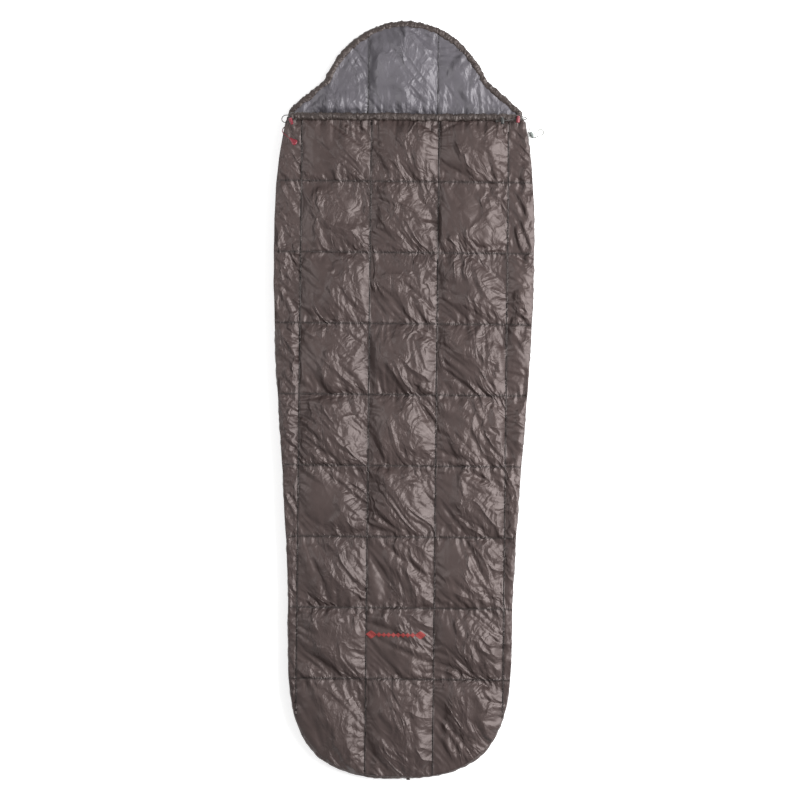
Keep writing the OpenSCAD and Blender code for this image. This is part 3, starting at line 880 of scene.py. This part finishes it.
upper_lining = panel("UpperLining", QUILT_END, upper_lining_z, 0.0006, LINING)
tucked_in(upper_lining)
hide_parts("upper_lining", "flap_lining")
lower_lining = panel("LowerLining", Y_NECK, lower_lining_z, 0.0006, LINING)
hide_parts("lower_lining", "lower_fill")
lower_shell = panel("LowerShell", Y_NECK, lower_shell_z, 0.0, SHELL)
roll_border(lower_shell, Z_LOW + 0.0006, 0.0046, 0.0040)
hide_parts("lower_shell")


# ---- side walls
def resample(points, step):
    p = [Vector((x, y, 0)) for x, y in points]
    out, carry = [p[0]], 0.0
    for a, b in zip(p, p[1:]):
        length = (b - a).length
        at = step - carry
        while at <= length:
            out.append(a + (b - a) * at / length)
            at += step
        carry = (carry + length) % step if length else carry
    return out


def side_wall(path, z_low, z_high, bulge):
    """A band of cloth between the two quilts' edges, pushed out by the down and puckered by its seams."""
    rows = 9
    verts, uvs = [], []
    run = 0.0
    for i, p in enumerate(path):
        way = (path[min(i + 1, len(path) - 1)] - path[max(i - 1, 0)]).normalized()
        out = Vector((way.y, -way.x, 0))
        if out.dot(Vector((p.x, p.y - 0.1, 0))) < 0:
            out = -out
        if i:
            run += (p - path[i - 1]).length
        at_foot = min(1, max(0, -0.85 - p.y) / 0.15)
        swell = (0.8 + 0.4 * noise.noise(Vector((run * 7, 1.3, 0)))) * (1 + 1.4 * at_foot)
        swell *= 0.25 + 0.75 * min(1, min(abs(p.y - r) for r in ROWS) / 0.045) ** 0.6
        for k in range(rows + 1):
            t = k / rows
            pucker = noise.noise(Vector((run * 60, t * 1.4, 4.2)))
            offset = math.sin(math.pi * t) * (bulge * swell + 0.0016 * pucker) + 0.0007 * pucker
            verts.append(p + out * offset + Vector((0, 0, z_low + (z_high - z_low) * t)))
            uvs.append((run, t * (z_high - z_low)))
    return piece("SideWall", verts, sheet_faces(len(path) - 1, rows), uvs, SHELL, "shell_nylon")


wall_right = bag_outline(QUILT_END)
left_part = [(-x, y) for x, y in reversed(bag_outline(QUILT_END)) if y < ZIP_LOW_Y]
wall_end = [(-0.3545, 0.199), (-0.3500, 0.2055), (-0.3470, 0.2115)]
wall_path = resample(wall_right + left_part + wall_end, 0.0042)
side = side_wall(wall_path, Z_LOW - 0.0012, Z_UP + 0.0012, 0.0050)
evenly_creased(side)
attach(side, "bag")
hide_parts("right_gusset", "left_gusset", "foot_gusset")


# ---- gathered tunnels
def gathered(name, path, wide, tall, seed):
    """A drawcord tunnel, gathered along its cord: ridges across it with soft valleys, of uneven size."""
    whole = route_length(path)

    def radius(i, a, run):
        c, s = math.cos(a), math.sin(a)
        fold = noise.noise(Vector((run * 74, 0.8 * c, seed + 0.8 * s)))
        fold += 0.6 * noise.noise(Vector((run * 170, c, seed + s)))
        slow = noise.noise(Vector((run * 16, 2.0 + 0.6 * c, seed)))
        end = math.sqrt(max(0.03, min(1.0, run / 0.007, (whole - run) / 0.007)))
        scale = (1 + 0.34 * fold + 0.22 * slow) * end
        return wide * scale, tall * scale

    verts, faces, uvs = tube(path, radius, 20)
    uvs = [(u, v * 6) for u, v in uvs]
    obj = piece(name, verts, faces, uvs, TRIM, "trim_fabric")
    evenly_creased(obj)
    return obj


def neck_point(x):
    return Vector((x, 0.7940 + 0.0024 * noise.noise(Vector((x * 14, 0.4, 8.0))), 0.0540))


count = 430
NECK_HALF = HALF_NECK - 0.002
neck_path = [neck_point(-NECK_HALF + 2 * NECK_HALF * i / count) for i in range(count + 1)]
neck = gathered("NeckTunnel", neck_path, 0.0100, 0.0076, 3.0)
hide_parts("neck_tunnel", "neck_tunnel_end")
RIM_Z = 0.0205
rim_right = hood_outline(0.0100)[2:]
rim_right = [(rim_right[0][0] - 0.001, Y_NECK - 0.007)] + rim_right
rim_line = rim_right + [(-x, y) for x, y in reversed(rim_right[:-1])]
rim_path = [Vector((p.x, p.y, RIM_Z)) for p in resample(rim_line, 0.0017)]
rim = gathered("HoodRim", rim_path, 0.0098, 0.0082, 11.0)
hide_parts("hood_tunnel")


def plain_cord(name, path, node):
    obj = piece(name, *round_tube(path, CORD_R, 8), CORD, "cord")
    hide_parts(node)
    return obj


low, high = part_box("neck_drawcord")
middle = (low + high) / 2
straight = [Vector((low.x + (high.x - low.x) * i / 60, middle.y, middle.z)) for i in range(61)]
inner_cord = plain_cord("NeckDrawcord", straight, "neck_drawcord")
rim_cord = plain_cord("HoodDrawcord", rim_path[::4], "hood_drawcord")


# ---- hood underside
def hood_under():
    inset = 0.010
    outline = both_sides(hood_outline(inset))
    mesh = grid_mesh("HoodShell", PANEL_STEP, Y_NECK, Y_TOP - inset, lambda y: hood_half(y, inset), outline,
                     HOOD_COLS, [], snap_from=Y_NECK + 1e-5)
    obj = link("HoodShell", mesh)
    co = read(mesh)
    seam, edge = seam_distance(co, HOOD_COLS, [], outline)
    side_rise = 0.0150 * np.clip(1 - edge / 0.03, 0, 1) ** 1.7
    co[:, 2] = 0.0008 + side_rise + 0.004 * np.exp(-seam / 0.012) + 0.0008 * creases(co, 51.0)
    write(mesh, co)
    dress(obj, SHELL, co[:, :2])
    mark_fabric(mesh, co, seam, edge, HOOD_COLS, [])
    return obj


hood_shell = hood_under()
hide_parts("hood_shell")
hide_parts("hood_lining", "hood_fill")


# ---- stitching
def stitches(name, lines, z_at):
    """Short raised threads, end to end along each seam line."""
    pitch, length, r, sides = 0.0042, 0.0030, 0.00042, 6
    verts, faces, uvs = [], [], []
    ring = [(math.cos(2 * math.pi * k / sides), math.sin(2 * math.pi * k / sides)) for k in range(sides)]
    for a, b in lines:
        a, b = Vector(a), Vector(b)
        n = int((b - a).length / pitch)
        way = (b - a).normalized()
        side_dir = Vector((-way.y, way.x, 0))
        for i in range(n):
            centre = a + way * pitch * (i + 0.5)
            base = z_at(centre.x, centre.y)
            if base is None:
                continue
            start = len(verts)
            for t, size in ((-0.5, 0.45), (-0.3, 1.0), (0.3, 1.0), (0.5, 0.45)):
                p = Vector((centre.x, centre.y, base)) + way * length * t
                for c, s in ring:
                    verts.append(p + side_dir * r * size * c + Vector((0, 0, r * (0.5 + size * s))))
                    uvs.append((length * t, 0.001 * c))
            faces += ring_faces(4, sides, start)
    return piece(name, verts, faces, uvs, THREAD, "trim_fabric")


def seam_lines(cols, rows, y_low, y_high, width_at):
    margin = 0.006
    lines = []
    for c in cols:
        reach = [y_low + (y_high - y_low) * i / 400 for i in range(401)]
        inside = [y for y in reach if width_at(y) - margin > abs(c)]
        lines.append(((c, inside[-1], 0), (c, inside[0], 0)))
    for r in rows:
        w = width_at(r) - margin
        lines.append(((-w, r, 0), (w, r, 0)))
    return lines


top_thread = stitches(
    "UpperStitching",
    seam_lines(COLS, ROWS, Y_END + 0.006, QUILT_END - 0.006, half_width),
    lambda x, y: height_on(top_tree, x, y, PIN_Z),
)
hood_thread = stitches(
    "HoodStitching",
    seam_lines(HOOD_COLS, [], Y_NECK + 0.004, Y_TOP - 0.030, lambda y: hood_half(y, 0.018)),
    lambda x, y: height_on(hood_tree, x, y, None),
)


# ---- zipper
zip_frame = Matrix.Translation(ZIP_TOP) @ Matrix.Rotation(-ZIP_LEAN, 4, "Z")


def zip_box(node):
    """A CAD zipper node's extent along the chain, as distances below its upper end."""
    low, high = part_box(node)
    turn = zip_frame.inverted()
    corners = [(x, y, z) for x in (low.x, high.x) for y in (low.y, high.y) for z in (low.z, high.z)]
    ys = [(turn @ Vector(corner)).y for corner in corners]
    return min(ys), max(ys)


def zip_tape(name, node, z_from, z_to):
    y_from, y_to = zip_box(node)
    y_from, y_to = y_from + 0.0006, y_to - 0.0006
    n, m = 150, 6
    verts, faces, uvs = [], [], []
    for layer in (0.0, 0.0008):
        for i in range(n + 1):
            y = y_from + (y_to - y_from) * i / n
            for k in range(m + 1):
                z = z_from + (z_to - z_from) * k / m
                wave = 0.0003 * noise.noise(Vector((y * 40, z * 60, 2.2)))
                verts.append(zip_frame @ Vector((layer + wave, y, z)))
                uvs.append((y, z))
    size = (n + 1) * (m + 1)
    for layer in (0, 1):
        for i in range(n):
            for k in range(m):
                a = layer * size + i * (m + 1) + k
                quad = [a, a + 1, a + m + 2, a + m + 1]
                faces.append(quad if layer == 0 else quad[::-1])
    rim_loop = [i * (m + 1) for i in range(n + 1)] + [n * (m + 1) + k for k in range(1, m + 1)]
    rim_loop += [i * (m + 1) + m for i in range(n - 1, -1, -1)] + [k for k in range(m - 1, 0, -1)]
    for a, b in zip(rim_loop, rim_loop[1:] + rim_loop[:1]):
        faces.append([b, a, a + size, b + size])
    obj = piece(name, verts, faces, uvs, TAPE, "trim_fabric")
    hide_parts(node)
    return obj


def zip_coil(name, node, z_sign):
    """A nylon coil: one wound strand, sewn to its tape's edge."""
    pitch, strand_r = 0.0017, 0.00034
    y_from, y_to = zip_box(node)
    turns = int((y_to - y_from - 0.001) / pitch)
    path = []
    for i in range(turns * 8 + 1):
        a = 2 * math.pi * i / 8
        path.append(zip_frame @ Vector((
            -0.0011 + 0.00075 * math.cos(a),
            y_from + 0.0008 + pitch * i / 8,
            z_sign * (0.0015 + 0.0011 * math.sin(a)),
        )))
    obj = piece(name, *round_tube(path, strand_r, 6), COIL, "coil")
    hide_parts(node)
    return obj


tape_low = zip_tape("ZipperTapeLower", "zipper_tape_lower", -0.0088, -0.0004)
tape_up = zip_tape("ZipperTapeUpper", "zipper_tape_upper", 0.0004, 0.0088)
coil_low = zip_coil("ZipperCoilLower", "zipper_coil_lower", -1)
coil_up = zip_coil("ZipperCoilUpper", "zipper_coil_upper", 1)


def draft():
    y_from, y_to = -ZIP_LENGTH + 0.030, -0.015
    n = 140
    path = [zip_frame @ Vector((0.014, y_from + (y_to - y_from) * i / n, -0.0018)) for i in range(n + 1)]

    def radius(i, a, run):
        end = min(1, (run + 0.002) / 0.02, (y_to - y_from - run + 0.002) / 0.02)
        scale = (0.94 + 0.10 * noise.noise(Vector((run * 30, math.sin(a), 7.7)))) * math.sqrt(max(0.05, end))
        return 0.0070 * scale, 0.0070 * scale

    verts, faces, uvs = tube(path, radius, 18)
    obj = piece("DraftTube", verts, faces, [(u, v * 5) for u, v in uvs], LINING, "lining_nylon")
    evenly_creased(obj)
    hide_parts("draft_tube")
    return obj


draft_tube = draft()


# ---- emblem and hang loop
def emblem():
    """Satin stitch in a plain row of diamonds between two larger ones, laid over the quilt."""
    low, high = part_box("emblem")
    centre = (low + high) / 2
    reach, h = (high.x - low.x) / 2, (high.y - low.y) / 2
    end_length, pitch = 0.030, 0.0135

    def half_at(x):
        from_end = reach - abs(x)
        if from_end < end_length:
            return h * 0.72 * (1 - abs(from_end / end_length * 2 - 1)) ** 0.8
        return 0.0012 + h * 0.36 * (1 - abs(((x / pitch) % 1) * 2 - 1)) ** 1.3

    verts, uvs = [], []
    cols, rows = 336, 12
    for i in range(cols + 1):
        x = -reach + 2 * reach * i / cols
        raised = i % 2
        half = max(0.0004, half_at(x)) + 0.0005 * raised
        for k in range(rows + 1):
            t = -1 + 2 * k / rows
            lift = 0.0005 + (0.0007 + 0.0004 * raised) * (1 - abs(t) ** 6)
            at_x, at_y = centre.x + x, centre.y + t * half
            verts.append((at_x, at_y, height_on(top_tree, at_x, at_y, PIN_Z) + lift))
            uvs.append((x, t * half))
    obj = piece("Emblem", verts, sheet_faces(cols, rows), uvs, EMBROIDERY, "embroidery")
    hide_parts("emblem")
    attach(obj, "bag")


emblem()


def hang_loop():
    low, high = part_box("foot_loop")
    x_mid, half = (low.x + high.x) / 2, (high.x - low.x) / 2
    z_mid = (low.z + high.z) / 2
    r = (high.z - low.z) / 2 - 0.0006
    y_bend = low.y + r + 0.0006
    line = [(high.y - (high.y - y_bend) * i / 8, z_mid + r) for i in range(8)]
    turns = [math.pi * i / 14 for i in range(15)]
    line += [(y_bend - r * math.sin(a), z_mid + r * math.cos(a)) for a in turns]
    line += [(y_bend + (high.y - y_bend) * i / 8, z_mid - r) for i in range(1, 9)]
    verts, uvs = [], []
    upper = [(-0.96, 1), (-0.5, 1), (0, 1), (0.5, 1), (0.96, 1)]
    section = [(-1, 0)] + upper + [(1, 0)] + [(u, -v) for u, v in reversed(upper)]
    for i, (y, z) in enumerate(line):
        a, b = line[max(0, i - 1)], line[min(len(line) - 1, i + 1)]
        way = Vector((0, b[0] - a[0], b[1] - a[1])).normalized()
        out = Vector((1, 0, 0)).cross(way)
        for u, v in section:
            verts.append(Vector((x_mid + u * half, y, z)) + out * v * 0.00055)
            uvs.append((u * half, i * 0.002))
    obj = piece("HangLoop", verts, closed_faces(len(line), len(section)), uvs, TRIM, "trim_fabric")
    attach(obj, "bag")
    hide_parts("foot_loop")


hang_loop()


# ---- what each piece moves with
for obj in (top, upper_lining, neck, top_thread, tape_up, coil_up, inner_cord):
    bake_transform(obj)
for obj in (hood_top, hood_shell, rim, rim_cord, hood_thread):
    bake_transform(obj)
for obj in (lower_lining, lower_shell, tape_low, coil_low, draft_tube):
    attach(obj, "bag")


# ---- lock springs, and the finish of CAD nodes that stay
def refinish(name, material):
    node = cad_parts[name]
    node.data.materials.clear()
    node.data.materials.append(material)


def spring(name, lock, body, joint):
    """The coil spring under a lock's plunger."""
    (x, y, z), yaw = lock
    axis = Vector((math.cos(math.radians(yaw)), math.sin(math.radians(yaw)), 0))
    across = Vector((-axis.y, axis.x, 0))
    up = Vector((0, 0, 1))
    base = Vector((x, y, z)) / 1000 - axis * 0.0075
    length, coil_r, wire = 0.0039, 0.0024, 0.0003
    turns, per_turn = 3, 20
    steps = turns * per_turn
    path = []
    for i in range(steps + 1):
        a = 2 * math.pi * i / per_turn
        along = wire + (length - 2 * wire) * i / steps
        path.append(base + axis * along + (across * math.cos(a) + up * math.sin(a)) * coil_r)
    obj = piece(name, *round_tube(path, wire, 8), SPRING, "spring_steel")
    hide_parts(joint.replace("_press", "_lock_spring"))
    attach(obj, body)
    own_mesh(obj)


# Each lock's centre in millimetres, its turn in degrees, its body and its plastic
LOCKS = {
    "left": (((-320, 777, 66.4), -70), "flap", RED_PLASTIC),
    "right": (((315, 788, 67), 85), "bag", RED_PLASTIC),
    "neck": (((271, 783, 71.6), 95), "bag", BLACK_PLASTIC),
    "tail": (((357, 752, 6.4), -64), "bag", GREY_PLASTIC),
}
for lock, (place, body, material) in LOCKS.items():
    spring(lock.capitalize() + "Spring", place, body, lock + "_press")
    refinish(lock + "_lock_body", material)
    refinish(lock + "_lock_button", material)
for part in ("slider_body", "pull_bail", "zipper_bottom_stop", "zipper_top_stop"):
    refinish(part, METAL)


# ---- floor and light
def floor():
    mesh = bpy.data.meshes.new("floor")
    mesh.from_pydata([(-6, -6, 0), (6, -6, 0), (6, 6, 0), (-6, 6, 0)], [], [[0, 1, 2, 3]])
    material, _, shader = new_material("floor")
    put(shader, {
        "Base Color": (0.92, 0.92, 0.92, 1), "Roughness": 0.9, "Specular IOR Level": 0.1,
        "Emission Color": (1, 1, 1, 1), "Emission Strength": 0.40,
    })
    mesh.materials.append(material)
    link("floor", mesh)


def softbox(name, at, wide, tall, power):
    """A soft light that faces the middle of the bag."""
    light = bpy.data.lights.new(name, "AREA")
    light.shape = "RECTANGLE"
    light.size, light.size_y, light.energy = wide, tall, power
    obj = link(name, light)
    obj.location = at
    obj.rotation_euler = (-Vector(at)).to_track_quat("-Z", "Y").to_euler()


floor()
softbox("key", (2.5, 0.3, 2.0), 3.2, 2.6, 222)
softbox("fill", (-2.6, 0.8, 2.6), 2.6, 1.8, 45)
world = bpy.data.worlds.new("studio")
scene.world = world
world.use_nodes = True
put(world.node_tree.nodes["Background"], {"Color": (1, 1, 1, 1), "Strength": 0.5})
scene.view_settings.view_transform = "Standard"
